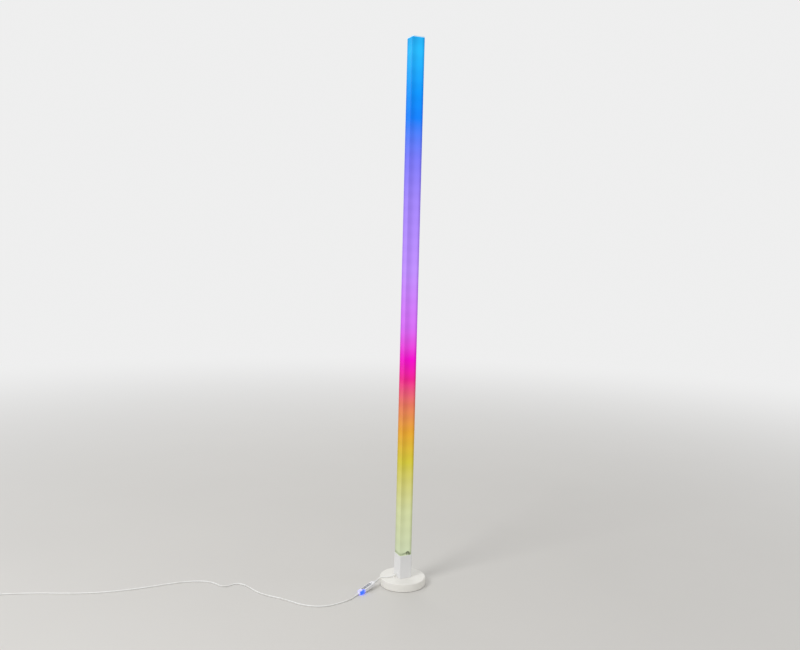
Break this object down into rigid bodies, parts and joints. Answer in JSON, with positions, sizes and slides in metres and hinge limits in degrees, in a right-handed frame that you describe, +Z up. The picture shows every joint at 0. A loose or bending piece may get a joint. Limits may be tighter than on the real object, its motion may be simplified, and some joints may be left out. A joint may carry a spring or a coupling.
{
  "type": "corner floor lamp",
  "caption": "Slender square light column in a square socket on a weighted round base, with an inline key controller and a USB plug on its cord",
  "frame": {"origin": "centre of the base at the floor, under the middle of the tube", "axes": "+Z up along the tube; the tube and socket are square to X and Y, and the lead leaves the socket towards -X"},
  "size_m": [1.1113, 0.3621, 1.4],
  "materials": {
    "base_white": "satin powder coat",
    "weight_iron": "raw",
    "plate_steel": "zinc plated",
    "pad_rubber": "matt foam rubber",
    "screw_steel": "zinc plated",
    "socket_white": "fine moulded satin",
    "grommet_white": "satin",
    "connector_ivory": "satin",
    "diffuser_glow": "frosted, lit from inside",
    "cap_white": "satin",
    "fitting_white": "satin",
    "spine_aluminium": "extruded, anodised",
    "strip_white": "solder mask",
    "led_package": "clear silicone",
    "wire_red": "satin",
    "case_white": "fine moulded satin",
    "panel_grey": "satin",
    "key_grey": "satin",
    "board_green": "solder mask",
    "chip_black": "moulded epoxy",
    "switch_steel": "plain",
    "receiver_black": "gloss",
    "window_red": "gloss, dark tint",
    "led_blue": "clear",
    "lens_blue": "clear, lit",
    "relief_white": "satin",
    "cord_white": "soft satin",
    "tie_white": "satin",
    "grip_white": "satin",
    "plug_steel": "nickel plated",
    "tongue_white": "satin",
    "contact_gold": "gold plated"
  },
  "bodies": {
    "lamp": {"base_shell": "base_white", "base_weight": "weight_iron", "base_plate": "plate_steel", "foot_pad": "pad_rubber", "plate_screws": "screw_steel", "socket": "socket_white", "socket_screws": "screw_steel", "cord_grommet": "grommet_white", "connector_plug": "connector_ivory", "connector_socket": "connector_ivory", "diffuser": "diffuser_glow", "top_cap": "cap_white", "cap_screw": "screw_steel", "bottom_plug": "fitting_white", "spine": "spine_aluminium", "strip_front": "strip_white", "strip_side": "strip_white", "leds_front": "led_package", "leds_side": "led_package", "strip_leads": "wire_red", "strip_jumper": "wire_red", "case_bottom": "case_white", "case_top": "case_white", "key_panel": "panel_grey", "controller_board": "board_green", "board_parts": "chip_black", "key_switches": "switch_steel", "ir_receiver": "receiver_black", "ir_window": "window_red", "status_led": "led_blue", "status_lens": "lens_blue", "relief_in": "relief_white", "relief_out": "relief_white", "lamp_lead": "cord_white", "power_cord": "cord_white", "power_cord_coil": "cord_white", "plug_lead": "cord_white", "coil_tie": "tie_white", "plug_grip": "grip_white", "plug_shell": "plug_steel", "plug_tongue": "tongue_white", "plug_contacts": "contact_gold"},
    "mode_key": {"mode_key": "key_grey"},
    "power_key": {"power_key": "key_grey"},
    "speed_key": {"speed_key": "key_grey"}
  },
  "joints": [
    {"name": "mode_key_press", "type": "slide", "parent": "lamp", "child": "mode_key", "axis": [0.1394, 0.071, -0.9877], "range_m": [0, 0.0005], "stiffness_N_per_m": 800, "springref_m": -0.0005},
    {"name": "power_key_press", "type": "slide", "parent": "lamp", "child": "power_key", "axis": [0.1394, 0.071, -0.9877], "range_m": [0, 0.0005], "stiffness_N_per_m": 800, "springref_m": -0.0005},
    {"name": "speed_key_press", "type": "slide", "parent": "lamp", "child": "speed_key", "axis": [0.1394, 0.071, -0.9877], "range_m": [0, 0.0005], "stiffness_N_per_m": 800, "springref_m": -0.0005}
  ]
}
